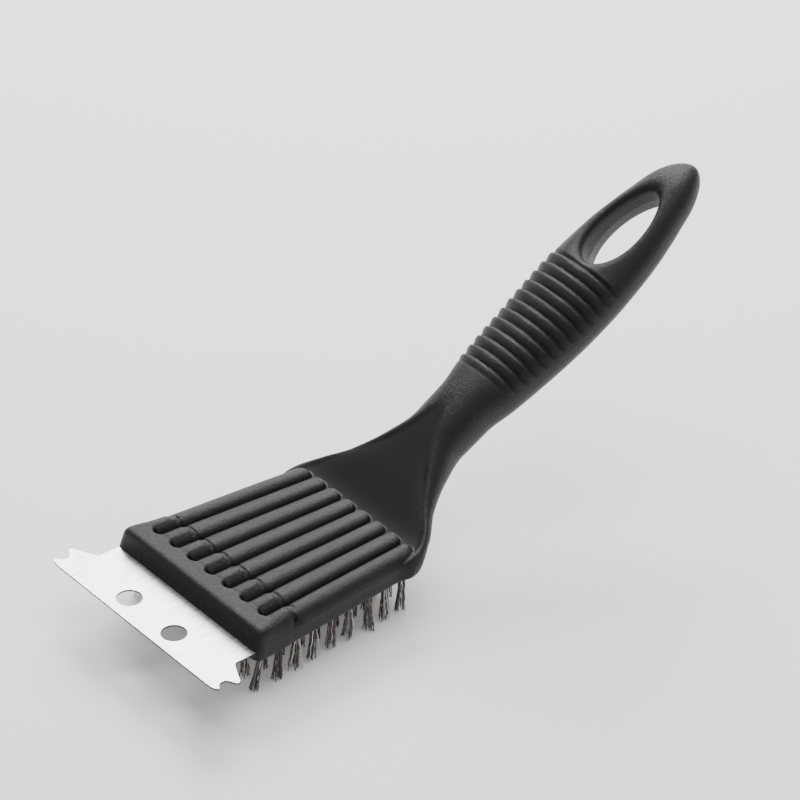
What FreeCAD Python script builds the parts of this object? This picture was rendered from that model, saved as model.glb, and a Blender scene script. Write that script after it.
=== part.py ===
import FreeCAD, Part
import math
import os

import Sketcher

# Hand wire brush with a scraper blade.
# Frame: +X runs from the blade towards the handle's tip, +Z is up, Y is across.
# The origin is at the tips of the middle tuft of the wire field, and the brush stands on
# its wire tips at Z = 0. Lengths along X are measured from the head's front face.

doc = FreeCAD.newDocument("wire_brush")
sheet = doc.addObject("Spreadsheet::Sheet", "sizes")


class Size:
    """A driving dimension: its value, and the text that reads it from the sheet."""

    def __init__(self, value, text):
        self.value = float(value)
        self.text = text

    def _with(self, other, sign, value):
        text = other.text if isinstance(other, Size) else repr(float(other))
        return Size(value, "(%s %s %s)" % (self.text, sign, text))

    def __add__(self, other):
        return self._with(other, "+", self.value + float(other))

    def __sub__(self, other):
        return self._with(other, "-", self.value - float(other))

    def __mul__(self, other):
        return self._with(other, "*", self.value * float(other))

    def __truediv__(self, other):
        return self._with(other, "/", self.value / float(other))

    def __neg__(self):
        return Size(-self.value, "(-1 * %s)" % self.text)

    def __float__(self):
        return self.value


def fixed(value):
    return Size(value, repr(float(value)))


def larger(first, second):
    return Size(max(float(first), float(second)), "max(%s; %s)" % (first.text, second.text))


row_number = [0]


def size(alias, value, note):
    """Write one driving dimension in the sheet and hand it back."""
    row_number[0] += 1
    row = row_number[0]
    sheet.set("A%d" % row, alias)
    sheet.set("B%d" % row, "%.4f" % value)
    sheet.set("C%d" % row, note)
    sheet.setAlias("B%d" % row, alias)
    return Size(value, "sizes." + alias)


# Head plate
head_floor = size("head_floor", 14.0, "height of the head's underside above the wire tips")
plate_thick = size("plate_thick", 5.8, "head plate between the ribs")
head_length = size("head_length", 62.0, "front face to the start of the fan")
head_half_front = size("head_half_front", 35.4, "half width of the head at its front")
head_half_rear = size("head_half_rear", 29.6, "half width of the head at its rear")
front_lean = size("front_lean", 0.25, "how far the front face leans back per unit of height")
front_corner = size("front_corner", 5.0, "plan radius of the front corners")
rear_corner = size("rear_corner", 9.0, "plan radius of the rear corners")
bar_rise = size("bar_rise", 3.9, "front bar above the plate")
bar_depth = size("bar_depth", 16.0, "front bar from the front face to the step in the ribs")

# Ribs and the grooves' rounded ends
rib_count = 8
rib_pitch_front = size("rib_pitch_front", 8.48, "rib spacing at the bar")
rib_pitch_rear = size("rib_pitch_rear", 7.34, "rib spacing at the fan")
rib_radius_front = size("rib_radius_front", 4.1, "rib radius at the bar")
rib_radius_rear = size("rib_radius_rear", 3.5, "rib radius at the fan")
rib_nose = size("rib_nose", 2.4, "length of the tapered nose at a rib's rear")
rib_nose_ratio = size("rib_nose_ratio", 0.5, "nose radius against the rib's radius")
rib_axis_drop = size("rib_axis_drop", 1.0, "rib axis below the plate's top")
slot_radius = size("slot_radius", 2.2, "half width of a groove's rounded end")
slot_front = size("slot_front", 8.0, "front face to the groove's rounded end")

# Fan between the head and the handle
head_tail = size("head_tail", 4.0, "head plate that runs on under the fan")
recess_half_front = size("recess_half_front", 25.6, "half width of the fan's recess at the ribs")
recess_half_rear = size("recess_half_rear", 4.2, "half width of the recess near the neck")
recess_end = size("recess_end", 93.0, "end of the recess")

# Handle: a bar of oval section along a sloping line
handle_tilt = size("handle_tilt", 28.5, "slope of the handle in degrees")
neck_reach = size("neck_reach", 96.5, "front face to the point where the handle's line is taken")
neck_rise = size("neck_rise", 35.5, "height of the handle's line at that point")
hole_reach = size("hole_reach", 76.5, "neck to the centre of the hanging hole's wide end")
hole_length = size("hole_length", 17.6, "between the centres of the hanging hole's two ends")
hole_wide = size("hole_wide", 7.2, "radius of the hanging hole's wide end")
hole_narrow = size("hole_narrow", 5.0, "radius of the hanging hole's narrow end")
grip_count = 12
grip_reach = size("grip_reach", 22.6, "neck to the first grip rib")
grip_pitch = size("grip_pitch", 3.85, "grip rib spacing")
grip_thick = size("grip_thick", 2.0, "grip rib width along the handle")
grip_rise = size("grip_rise", 0.9, "grip rib height on top of the handle")

# Scraper blade
blade_top = size("blade_top", 3.0, "blade's upper face above the head's underside")
blade_thick = size("blade_thick", 0.6, "sheet thickness")
blade_reach = size("blade_reach", 20.15, "blade's front edge ahead of the head")
blade_half = size("blade_half", 42.2, "half width over the ears")
blade_half_front = size("blade_half_front", 40.9, "half width at the front edge")
tang_half = size("tang_half", 33.9, "half width of the tang")
tang_depth = size("tang_depth", 8.4, "tang inside the head")
ear_back = size("ear_back", 11.6, "ear's rear tip ahead of the head")
ear_root = size("ear_root", 7.1, "inner corner of the ear ahead of the head")
scallop_ahead = size("scallop_ahead", 15.8, "scallop's centre ahead of the head")
scallop_radius = size("scallop_radius", 3.1, "scallop radius")
scallop_out = size("scallop_out", 41.9, "scallop's centre from the middle")
blade_corner = size("blade_corner", 2.4, "radius of the front corners")
hole_ahead = size("hole_ahead", 12.9, "blade holes ahead of the head")
hole_spacing = size("hole_spacing", 22.2, "between the two blade holes")
hole_diameter = size("hole_diameter", 8.0, "blade hole diameter")
lock_diameter = size("lock_diameter", 5.0, "tang holes that the moulding locks through")

# Wire tufts and their anchors
tuft_rows = 9
tuft_columns = 9
tuft_start = size("tuft_start", 4.6, "front face to the first row")
tuft_pitch = size("tuft_pitch", 7.1, "row spacing")
tuft_half_front = size("tuft_half_front", 30.4, "outer tuft from the middle in the first row")
tuft_half_rear = size("tuft_half_rear", 25.8, "outer tuft from the middle in the last row")
tuft_tip = size("tuft_tip", 2.3, "tuft radius at its tips")
tuft_root = size("tuft_root", 1.3, "tuft radius at its fold")
tuft_hole = size("tuft_hole", 1.6, "radius of the hole a tuft is set in")
tuft_depth = size("tuft_depth", 4.6, "depth of that hole")
tuft_gap = size("tuft_gap", 0.2, "hole's end to the fold")
anchor_long = size("anchor_long", 3.7, "anchor length, longer than the hole is wide")
anchor_thick = size("anchor_thick", 0.4, "anchor thickness")
anchor_tall = size("anchor_tall", 1.2, "anchor height")
anchor_drop = size("anchor_drop", 0.3, "fold's top to the anchor")
tuft_edge = size("tuft_edge", 4.6, "least distance from the last row to the plate's rear")

doc.recompute()

plate_top = head_floor + plate_thick
bar_top = plate_top + bar_rise
blade_level = head_floor + blade_top
front_face = -(tuft_start + tuft_pitch * ((tuft_rows - 1) / 2.0))


def bind(thing, name, amount):
    thing.setExpression(name, amount.text)


def place(thing, along, across, up):
    """Put an object at a position that follows the sheet, along X from the front face."""
    along = front_face + along
    thing.Placement.Base = FreeCAD.Vector(float(along), float(across), float(up))
    bind(thing, "Placement.Base.x", along)
    bind(thing, "Placement.Base.y", across)
    bind(thing, "Placement.Base.z", up)


def origin_plane(body, role):
    return [f for f in body.Origin.OriginFeatures if f.Role == role][0]


def outline(body, name, role, corners):
    """A closed outline of straight edges, each corner held at its two distances."""
    sketch = body.newObject("Sketcher::SketchObject", name)
    sketch.AttachmentSupport = [(origin_plane(body, role), "")]
    sketch.MapMode = "FlatFace"
    count = len(corners)
    points = [FreeCAD.Vector(float(u), float(v), 0) for u, v in corners]
    for k in range(count):
        sketch.addGeometry(Part.LineSegment(points[k], points[(k + 1) % count]), False)
    for k in range(count):
        sketch.addConstraint(Sketcher.Constraint("Coincident", k, 2, (k + 1) % count, 1))
    for k, (u, v) in enumerate(corners):
        for axis, amount in (("X", u), ("Y", v)):
            rule = Sketcher.Constraint("Distance" + axis, -1, 1, k, 1, float(amount))
            index = sketch.addConstraint(rule)
            label = "corner_%d_%s" % (k + 1, axis.lower())
            sketch.renameConstraint(index, label)
            bind(sketch, "Constraints." + label, amount)
    return sketch


def pad(body, sketch, name, length, both_ways=False):
    feature = body.newObject("PartDesign::Pad", name)
    feature.Profile = sketch
    feature.Midplane = both_ways
    feature.Length = float(length)
    bind(feature, "Length", length)
    doc.recompute()
    return feature


def round_corners(body, base, name, spots, radius):
    """Round the upright edges that stand at the given plan positions."""
    names = []
    for number, edge in enumerate(base.Shape.Edges, 1):
        low, high = edge.BoundBox, edge.BoundBox
        upright = low.XLength < 0.01 and low.YLength < 0.01
        if upright and any(math.hypot(high.XMin - float(u), high.YMin - float(v)) < 0.05
                           for u, v in spots):
            names.append("Edge%d" % number)
    feature = body.newObject("PartDesign::Fillet", name)
    feature.Base = (base, names)
    feature.Radius = float(radius)
    bind(feature, "Radius", radius)
    doc.recompute()
    return feature


def common(name, base, tool):
    thing = doc.addObject("Part::Common", name)
    thing.Base = base
    thing.Tool = tool
    return thing


def cut(name, base, tool):
    thing = doc.addObject("Part::Cut", name)
    thing.Base = base
    thing.Tool = tool
    return thing


def gather(name, shapes, kind="Part::Compound"):
    thing = doc.addObject(kind, name)
    if kind == "Part::Compound":
        thing.Links = shapes
    else:
        thing.Shapes = shapes
    return thing


# ---- Head and fan: the plan outline and the side profile, where both hold -----------------
front_edge = front_lean * (-blade_top)
head_end = larger(head_length + head_tail, tuft_start + tuft_pitch * (tuft_rows - 1.0) + tuft_edge)
recess_top = neck_rise + 12.0
plan_body = doc.addObject("PartDesign::Body", "head_plan")
plan_sketch = outline(plan_body, "head_plan_outline", "XY_Plane", [
    (front_edge, -head_half_front),
    (head_end, -head_half_rear),
    (head_end, head_half_rear),
    (front_edge, head_half_front),
])
plan_pad = pad(plan_body, plan_sketch, "head_plan_pad", bar_top + 5.0)
front_round = round_corners(plan_body, plan_pad, "front_corners", [
    (front_edge, head_half_front), (front_edge, -head_half_front)], front_corner)
rear_round = round_corners(plan_body, front_round, "rear_corners", [
    (head_end, head_half_rear), (head_end, -head_half_rear)], rear_corner)

profile_body = doc.addObject("PartDesign::Body", "head_profile")
profile_sketch = outline(profile_body, "head_profile_outline", "XZ_Plane", [
    (front_edge, head_floor),
    (front_lean * (bar_top - blade_level), bar_top),
    (bar_depth, bar_top),
    (bar_depth, plate_top),
    (head_end + 1.0, plate_top),
    (head_end + 1.0, head_floor),
])
profile_pad = pad(profile_body, profile_sketch, "head_profile_pad", head_half_front * 2.2, True)
for made in (plan_body, profile_body):
    place(made, fixed(0.0), fixed(0.0), fixed(0.0))
head_block = common("head_block", plan_body, profile_body)

# The recess behind the ribs: a wedge that rises to the neck between the rims
recess_start = head_length - 0.5
recess_plan = doc.addObject("PartDesign::Body", "recess_plan")
recess_sketch = outline(recess_plan, "recess_outline", "XY_Plane", [
    (recess_start, -recess_half_front),
    (recess_end, -recess_half_rear),
    (recess_end, recess_half_rear),
    (recess_start, recess_half_front),
])
recess_pad = pad(recess_plan, recess_sketch, "recess_pad", recess_top)
recess_side = doc.addObject("PartDesign::Body", "recess_side")
recess_profile = outline(recess_side, "recess_profile", "XZ_Plane", [
    (recess_start, plate_top),
    (recess_end, recess_top - 5.0),
    (recess_end, recess_top),
    (recess_start, recess_top),
])
recess_pad_2 = pad(recess_side, recess_profile, "recess_side_pad", head_half_front * 2.2, True)
for made in (recess_plan, recess_side):
    place(made, fixed(0.0), fixed(0.0), fixed(0.0))
recess = common("fan_recess", recess_plan, recess_side)

# ---- Ribs: tapered round bars that fan in towards the handle, each with a short nose -------
rib_axis = plate_top - rib_axis_drop
rib_start = bar_depth - 2.0
rib_end = head_length
ribs = []
for k in range(rib_count):
    step = k - (rib_count - 1) / 2.0
    front_y = rib_pitch_front * step
    rear_y = rib_pitch_rear * step
    slope = (rear_y - front_y) / (rib_end - rib_start)
    lengths = (rib_end - rib_start, rib_nose)
    starts = ((rib_start, front_y), (rib_end, rear_y))
    radii = (rib_radius_front, rib_radius_rear, rib_radius_rear * rib_nose_ratio)
    for part, mark in enumerate(("rib", "rib_nose")):
        bar = doc.addObject("Part::Cone", "%s_%d" % (mark, k + 1))
        bind(bar, "Radius1", radii[part])
        bind(bar, "Radius2", radii[part + 1])
        bind(bar, "Height", lengths[part])
        bar.Placement.Rotation = FreeCAD.Rotation(FreeCAD.Vector(-slope.value, 1, 0), 90)
        bar.setExpression("Placement.Rotation.Axis.x", "-sin(atan(%s))" % slope.text)
        bar.setExpression("Placement.Rotation.Axis.y", "cos(atan(%s))" % slope.text)
        place(bar, starts[part][0], starts[part][1], rib_axis)
        ribs.append(bar)

# ---- The grooves' rounded ends in the front bar --------------------------------------------
slots = []
for k in range(rib_count - 1):
    across = rib_pitch_front * (k - (rib_count - 2) / 2.0)
    end = doc.addObject("Part::Cylinder", "slot_end_%d" % (k + 1))
    bind(end, "Radius", slot_radius)
    bind(end, "Height", bar_rise + 2.0)
    place(end, slot_front + slot_radius, across, plate_top + 0.4)
    run = doc.addObject("Part::Box", "slot_run_%d" % (k + 1))
    bind(run, "Length", bar_depth - slot_front - slot_radius)
    bind(run, "Width", slot_radius * 2.0)
    bind(run, "Height", bar_rise + 2.0)
    place(run, slot_front + slot_radius, across - slot_radius, plate_top + 0.4)
    slots += [end, run]

# ---- Handle: a loft through oval sections --------------------------------------------------
# (distance from the neck, full width, full thickness, lift above the straight line)
tilt = handle_tilt.text
SECTIONS = [
    ("rear", -36.0, 58.0, 12.6, 0.0),
    ("fan", -28.0, 52.0, 13.4, 0.0),
    ("waist", -19.0, 37.0, 14.4, 0.0),
    ("root", -10.0, 26.6, 15.3, 0.0),
    ("neck", 3.0, 19.6, 16.4, 0.0),
    ("swell", 20.0, 24.6, 17.0, -0.2),
    ("grip", 40.0, 29.2, 17.4, -0.6),
    ("palm", 61.0, 31.4, 17.6, 0.0),
    ("eye", 81.4, 28.2, 16.8, 0.5),
    ("shoulder", 97.0, 23.0, 15.2, 0.8),
    ("nose", 107.0, 16.0, 13.0, 1.2),
    ("tip", 112.6, 10.6, 9.2, 1.0),
    ("end", 115.2, 5.0, 4.4, 0.8),
]
handle_width = size("handle_width", 1.0, "scale of the handle's width")
handle_thick = size("handle_thick", 1.0, "scale of the handle's thickness")
doc.recompute()


def on_handle(thing, reach, lift, turn=0.0):
    """Place an object on the handle's line, square to it."""
    thing.Placement.Rotation = FreeCAD.Rotation(
        FreeCAD.Vector(0, 1, 0), 90 - handle_tilt.value + turn).multiply(
        FreeCAD.Rotation(FreeCAD.Vector(0, 0, 1), 90))
    slope = math.radians(handle_tilt.value)
    start = front_face + neck_reach
    along = start.value + reach.value * math.cos(slope) - lift.value * math.sin(slope)
    up = neck_rise.value + reach.value * math.sin(slope) + lift.value * math.cos(slope)
    thing.Placement.Base = FreeCAD.Vector(along, 0, up)
    thing.setExpression("Placement.Base.x", "%s + %s * cos(%s) - %s * sin(%s)" % (
        start.text, reach.text, tilt, lift.text, tilt))
    thing.setExpression("Placement.Base.z", "%s + %s * sin(%s) + %s * cos(%s)" % (
        neck_rise.text, reach.text, tilt, lift.text, tilt))


rings = []
for name, reach, wide, thick, lift in SECTIONS:
    ring = doc.addObject("Part::Ellipse", "section_" + name)
    reach_size = size("reach_" + name, reach, "neck to the %s section" % name)
    wide_size = size("wide_" + name, wide, "full width at the %s" % name)
    thick_size = size("thick_" + name, thick, "full thickness at the %s" % name)
    lift_size = size("lift_" + name, lift, "rise of the %s above the straight line" % name)
    doc.recompute()
    bind(ring, "MajorRadius", wide_size * handle_width / 2.0)
    bind(ring, "MinorRadius", thick_size * handle_thick / 2.0)
    on_handle(ring, reach_size, lift_size)
    rings.append(ring)
handle_bar = doc.addObject("Part::Loft", "handle_loft")
handle_bar.Sections = rings
handle_bar.Solid = True
handle_bar.Ruled = False
doc.recompute()


# The fan's underside is flat with the head's
under = doc.addObject("Part::Box", "under_head")
bind(under, "Length", head_length * 2.0)
bind(under, "Width", head_half_front * 3.0)
bind(under, "Height", head_floor)
place(under, fixed(0.0), head_half_front * -1.5, fixed(0.0))
handle_bar = cut("handle_bar", handle_bar, under)


def oval_at(reach):
    """Width, thickness and lift of the handle between two neighbouring sections."""
    for low, high in zip(SECTIONS, SECTIONS[1:]):
        if low[1] <= reach <= high[1]:
            part = (reach - low[1]) / (high[1] - low[1])
            return [low[n] + (high[n] - low[n]) * part for n in (2, 3, 4)]
    return SECTIONS[-1][2:]


# Grip ribs: oval discs set a little high, so that they fade out at the handle's sides
discs = []
for k in range(grip_count):
    reach = grip_reach + grip_pitch * k
    wide, thick, lift = oval_at(reach.value)
    oval = doc.addObject("Part::Ellipse", "grip_oval_%d" % (k + 1))
    bind(oval, "MajorRadius", handle_width * (wide / 2.0 - 0.5))
    bind(oval, "MinorRadius", handle_thick * (thick / 2.0))
    on_handle(oval, reach, grip_rise + lift)
    disc = doc.addObject("Part::Extrusion", "grip_rib_%d" % (k + 1))
    disc.Base = oval
    disc.DirMode = "Normal"
    disc.Solid = True
    disc.Symmetric = True
    disc.LengthFwd = grip_thick.value
    bind(disc, "LengthFwd", grip_thick)
    discs.append(disc)

# Hanging hole: two round ends and the tapered run between them, square to the handle
eye_body = doc.addObject("PartDesign::Body", "hanging_hole")
eye_sketch = eye_body.newObject("Sketcher::SketchObject", "hanging_hole_outline")
eye_sketch.AttachmentSupport = [(origin_plane(eye_body, "XY_Plane"), "")]
eye_sketch.MapMode = "FlatFace"
lean = math.acos((hole_wide.value - hole_narrow.value) / hole_length.value)
ends = [(0.0, hole_wide.value), (hole_length.value, hole_narrow.value)]
turns = [(lean, 2 * math.pi - lean), (-lean, lean)]
for (middle, radius), (start, stop) in zip(ends, turns):
    circle = Part.Circle(FreeCAD.Vector(middle, 0, 0), FreeCAD.Vector(0, 0, 1), radius)
    eye_sketch.addGeometry(Part.ArcOfCircle(circle, start, stop), False)
for side in (1, -1):
    spots = [FreeCAD.Vector(m + r * math.cos(lean), side * r * math.sin(lean), 0) for m, r in ends]
    eye_sketch.addGeometry(Part.LineSegment(spots[0], spots[1]), False)
eye_sketch.addConstraint(Sketcher.Constraint("Tangent", 0, 1, 2, 1))
eye_sketch.addConstraint(Sketcher.Constraint("Tangent", 1, 2, 2, 2))
eye_sketch.addConstraint(Sketcher.Constraint("Tangent", 0, 2, 3, 1))
eye_sketch.addConstraint(Sketcher.Constraint("Tangent", 1, 1, 3, 2))
eye_sketch.addConstraint(Sketcher.Constraint("Coincident", 0, 3, -1, 1))
eye_sketch.addConstraint(Sketcher.Constraint("PointOnObject", 1, 3, -1))
for label, rule, amount in (
        ("between", Sketcher.Constraint("DistanceX", 0, 3, 1, 3, hole_length.value), hole_length),
        ("wide", Sketcher.Constraint("Radius", 0, hole_wide.value), hole_wide),
        ("narrow", Sketcher.Constraint("Radius", 1, hole_narrow.value), hole_narrow)):
    eye_sketch.renameConstraint(eye_sketch.addConstraint(rule), label)
    bind(eye_sketch, "Constraints." + label, amount)
pad(eye_body, eye_sketch, "hanging_hole_pad", handle_thick * 60.0, True)
slope = math.radians(handle_tilt.value)
eye_start = front_face + neck_reach
eye_body.Placement = FreeCAD.Placement(
    FreeCAD.Vector(eye_start.value + hole_reach.value * math.cos(slope), 0,
                   neck_rise.value + hole_reach.value * math.sin(slope)),
    FreeCAD.Rotation(FreeCAD.Vector(0, 1, 0), -handle_tilt.value))
eye_body.setExpression("Placement.Base.x", "%s + %s * cos(%s)" % (
    eye_start.text, hole_reach.text, tilt))
eye_body.setExpression("Placement.Base.z", "%s + %s * sin(%s)" % (
    neck_rise.text, hole_reach.text, tilt))

# ---- Scraper blade -------------------------------------------------------------------------
blade = doc.addObject("PartDesign::Body", "scraper_blade")
blade.Label = "scraper_blade"
blade_sketch = outline(blade, "blade_outline", "XY_Plane", [
    (-blade_reach, -blade_half_front),
    (-ear_back - 1.2, -blade_half),
    (-ear_back, -blade_half + 0.5),
    (-ear_root, -tang_half),
    (tang_depth, -tang_half),
    (tang_depth, tang_half),
    (-ear_root, tang_half),
    (-ear_back, blade_half - 0.5),
    (-ear_back - 1.2, blade_half),
    (-blade_reach, blade_half_front),
])
blade_pad = pad(blade, blade_sketch, "blade_pad", blade_thick)
blade_round = round_corners(blade, blade_pad, "blade_corners", [
    (-blade_reach, blade_half_front), (-blade_reach, -blade_half_front)], blade_corner)

punch = blade.newObject("Sketcher::SketchObject", "blade_punch")
punch.AttachmentSupport = [(origin_plane(blade, "XY_Plane"), "")]
punch.MapMode = "FlatFace"
column_step = (tuft_half_front * 2.0) / (tuft_columns - 1)
circles = []
for side in (1, -1):
    circles.append((-hole_ahead, hole_spacing * (side / 2.0), hole_diameter / 2.0))
    circles.append((-scallop_ahead, scallop_out * side, scallop_radius))
for k in range(tuft_columns):
    across = column_step * (k - (tuft_columns - 1) / 2.0)
    circles.append((tuft_start, across, lock_diameter / 2.0))
for k, (u, v, radius) in enumerate(circles):
    centre = FreeCAD.Vector(float(u), float(v), 0)
    punch.addGeometry(Part.Circle(centre, FreeCAD.Vector(0, 0, 1), radius.value), False)
    for axis, amount in (("X", u), ("Y", v)):
        rule = Sketcher.Constraint("Distance" + axis, -1, 1, k, 3, float(amount))
        label = "hole_%d_%s" % (k + 1, axis.lower())
        punch.renameConstraint(punch.addConstraint(rule), label)
        bind(punch, "Constraints." + label, amount)
    label = "hole_%d_radius" % (k + 1)
    rule = Sketcher.Constraint("Radius", k, radius.value)
    punch.renameConstraint(punch.addConstraint(rule), label)
    bind(punch, "Constraints." + label, radius)
doc.recompute()
sheet_volume = blade_round.Shape.Volume
punched = blade.newObject("PartDesign::Pocket", "blade_holes")
punched.Profile = punch
punched.Type = "ThroughAll"
punched.Midplane = True
place(blade, fixed(0.0), fixed(0.0), blade_level - blade_thick)
doc.recompute()
if not punched.Shape.Volume < sheet_volume - 50.0:
    raise SystemExit("the blade's holes cut nothing")

# ---- Wire tufts, their holes and their anchors ---------------------------------------------
tuft_height = head_floor + tuft_depth - tuft_gap
holes = []
anchor_rows = []
tuft_nodes = []
last_row = tuft_rows - 1.0
half_columns = (tuft_columns - 1) / 2.0
for row in range(tuft_rows):
    along = tuft_start + tuft_pitch * row
    half = tuft_half_front + (tuft_half_rear - tuft_half_front) * (row / last_row)
    cones = []
    boxes = []
    for column in range(tuft_columns):
        across = half * ((column - half_columns) / half_columns)
        mark = "%d_%d" % (row + 1, column + 1)
        cone = doc.addObject("Part::Cone", "tuft_" + mark)
        bind(cone, "Radius1", tuft_tip)
        bind(cone, "Radius2", tuft_root)
        bind(cone, "Height", tuft_height)
        place(cone, along, across, fixed(0.0))
        cones.append(cone)
        box = doc.addObject("Part::Box", "anchor_" + mark)
        bind(box, "Length", anchor_long)
        bind(box, "Width", anchor_thick)
        bind(box, "Height", anchor_tall)
        place(box, along - anchor_long / 2.0, across - anchor_thick / 2.0,
              tuft_height - anchor_drop - anchor_tall)
        boxes.append(box)
        hole = doc.addObject("Part::Cylinder", "tuft_hole_" + mark)
        bind(hole, "Radius", tuft_hole)
        bind(hole, "Height", tuft_depth + 5.0)
        place(hole, along, across, head_floor - 5.0)
        holes.append(hole)
    anchors = gather("anchor_row_%d" % (row + 1), boxes)
    anchor_rows.append(anchors)
    tufts = cut("tuft_row_%d" % (row + 1), gather("tuft_cones_%d" % (row + 1), cones), anchors)
    tuft_nodes.append(tufts)
doc.recompute()

# ---- The moulded handle: everything joined, then the seats of the other pieces -------------
ribbed_grip = gather("ribbed_grip", [handle_bar] + discs, "Part::MultiFuse")
pierced_grip = cut("pierced_grip", ribbed_grip, eye_body)
joined = gather("handle_joined", [head_block, pierced_grip], "Part::MultiFuse")
ribbed = cut("handle_recessed", joined, recess)
for k, rib in enumerate(ribs):
    with_rib = doc.addObject("Part::Fuse", "handle_ribbed_%d" % (k + 1))
    with_rib.Base = ribbed
    with_rib.Tool = rib
    ribbed = with_rib
shaped = cut("handle_shaped", ribbed, gather("slot_cutters", slots, "Part::MultiFuse"))
seated = cut("handle_seated", shaped, blade)
drilled = cut("handle_drilled", seated, gather("tuft_holes", holes))
handle = cut("handle", drilled, gather("anchor_seats", anchor_rows))
doc.recompute()

# ---- Check and write -----------------------------------------------------------------------
nodes = {"handle": handle, "scraper_blade": blade}
for row in range(tuft_rows):
    nodes["tuft_row_%d" % (row + 1)] = tuft_nodes[row]
    nodes["anchor_row_%d" % (row + 1)] = anchor_rows[row]

for thing in doc.Objects:
    if "Invalid" in thing.State or "Error" in thing.State:
        raise SystemExit("failed object: %s %s" % (thing.Name, thing.State))
for name, thing in nodes.items():
    thing.Label = name
    shape = thing.Shape
    if shape.isNull() or not shape.isValid():
        raise SystemExit("bad shape: " + name)

os.makedirs("parts", exist_ok=True)
for name, thing in nodes.items():
    thing.Shape.exportStep("parts/%s.step" % name)
    print("%-14s solids %2d volume %10.1f" % (name, len(thing.Shape.Solids), thing.Shape.Volume))
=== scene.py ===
import math

import bmesh
import bpy
import numpy as np
from mathutils import Matrix, Vector


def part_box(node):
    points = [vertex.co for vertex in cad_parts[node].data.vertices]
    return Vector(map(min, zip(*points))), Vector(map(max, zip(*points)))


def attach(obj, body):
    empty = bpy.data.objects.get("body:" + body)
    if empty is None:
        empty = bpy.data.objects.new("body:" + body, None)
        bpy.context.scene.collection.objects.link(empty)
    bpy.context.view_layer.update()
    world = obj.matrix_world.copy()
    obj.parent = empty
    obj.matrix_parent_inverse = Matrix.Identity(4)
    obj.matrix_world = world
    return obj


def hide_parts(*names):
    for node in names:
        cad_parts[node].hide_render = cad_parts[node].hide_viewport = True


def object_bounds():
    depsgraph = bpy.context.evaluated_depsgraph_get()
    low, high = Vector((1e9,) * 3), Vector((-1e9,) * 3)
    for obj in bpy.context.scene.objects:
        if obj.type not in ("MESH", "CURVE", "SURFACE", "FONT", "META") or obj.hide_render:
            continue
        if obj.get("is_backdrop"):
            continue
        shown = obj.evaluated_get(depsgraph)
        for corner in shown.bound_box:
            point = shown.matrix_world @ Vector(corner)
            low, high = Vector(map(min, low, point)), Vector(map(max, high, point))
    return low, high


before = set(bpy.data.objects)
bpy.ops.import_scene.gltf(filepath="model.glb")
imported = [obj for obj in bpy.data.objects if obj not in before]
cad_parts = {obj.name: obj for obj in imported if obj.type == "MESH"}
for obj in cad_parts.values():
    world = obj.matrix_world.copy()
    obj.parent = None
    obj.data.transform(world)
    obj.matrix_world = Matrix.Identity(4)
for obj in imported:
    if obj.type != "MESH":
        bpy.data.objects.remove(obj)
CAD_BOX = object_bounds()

bl_info = {
    "name": "Wire Brush",
    "version": (1, 0, 0),
    "blender": (4, 5, 0),
    "location": "View3D > Sidebar > Wire Brush",
    "description": "Builds a hand wire brush with a ribbed plastic head, a steel scraper blade and wire tufts",
    "category": "Add Mesh",
}

MM = 0.001
TUFT_ROWS, TUFT_COLUMNS = 9, 9
TUFT_START, TUFT_PITCH = 4.6, 7.1                   # front face to the first row, and row to row
TUFT_TIP = 2.3                                      # radius of a tuft at its tips
OUTER_COLUMN = TUFT_COLUMNS // 2
COLUMNS = range(-OUTER_COLUMN, OUTER_COLUMN + 1)
BLADE_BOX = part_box("scraper_blade")
ROW_BOXES = [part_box("tuft_row_%d" % k) for k in range(1, TUFT_ROWS + 1)]
BLADE_TOP = BLADE_BOX[1].z / MM                     # upper face of the blade, in millimetres
ROW_X = [(low.x + high.x) / 2 / MM for low, high in ROW_BOXES]
FACE_X = ROW_X[0] - TUFT_START                      # front face of the head

# Colours that have no setting of their own
POLISHED_PLASTIC = (0.0150, 0.0138, 0.0122)
BRIGHT_WIRE = (0.62, 0.60, 0.57)
ANCHOR_STEEL = (0.62, 0.60, 0.56)
ROOM_LIGHT, ROOM_STRENGTH = (0.94, 0.95, 1.0, 1.0), 0.45

# Surface patterns, in repeats to a metre
GRAIN, MOTTLE, CLOUD, SMEAR, STAIN = 2300.0, 700.0, 45.0, 70.0, 900.0
BRUSHED_TURN = math.radians(30.0)                   # how far the brushing lines turn from the blade's edge
BRUSHED_LINES, BRUSHED_HAIRS = (60.0, 1400.0, 60.0), (160.0, 4200.0, 160.0)
SHEAR_LINES, ANCHOR_LINES = (900.0, 900.0, 60.0), (400.0, 60.0, 400.0)
GRAIN_HEIGHT, MOTTLE_HEIGHT, BRUSHED_HEIGHT = 0.00026, 0.00034, 0.0001

# Lights and camera, in metres. The camera's place is from the head's front face and the blade's top
KEY_PLACE, KEY_SIZE, KEY_SHARE = (0.66, 0.80, 0.75), 0.6, 3.0
OVERHEAD_PLACE, OVERHEAD_SIZE, OVERHEAD_SHARE = (0.4, 0.0, 2.2), 2.3, 6.5
LIGHT_AIM = (0.03, 0.0, 0.04)
FLOOR_REACH = 6.0
SENSOR_WIDTH, VIEW_END = 36.0, 20.0                 # the sensor is in millimetres
CAMERA_RIGHT, CAMERA_UP = (0.7833, -0.6217, 0.0), (0.3552, 0.4476, 0.8207)
CAMERA_BACK = (-0.5102, -0.6428, 0.5714)
CAMERA_X, CAMERA_Y, CAMERA_Z = -0.8398, -1.1603, 1.0685


# ------------------------------------------------------------------------- sizes and colours
def length(label, note, value):
    return bpy.props.FloatProperty(name=label, description=note, default=value, unit="LENGTH", precision=5)


def colour(label, note, value):
    return bpy.props.FloatVectorProperty(name=label, description=note, default=value, size=3,
                                         subtype="COLOR", min=0.0, max=1.0)


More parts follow.
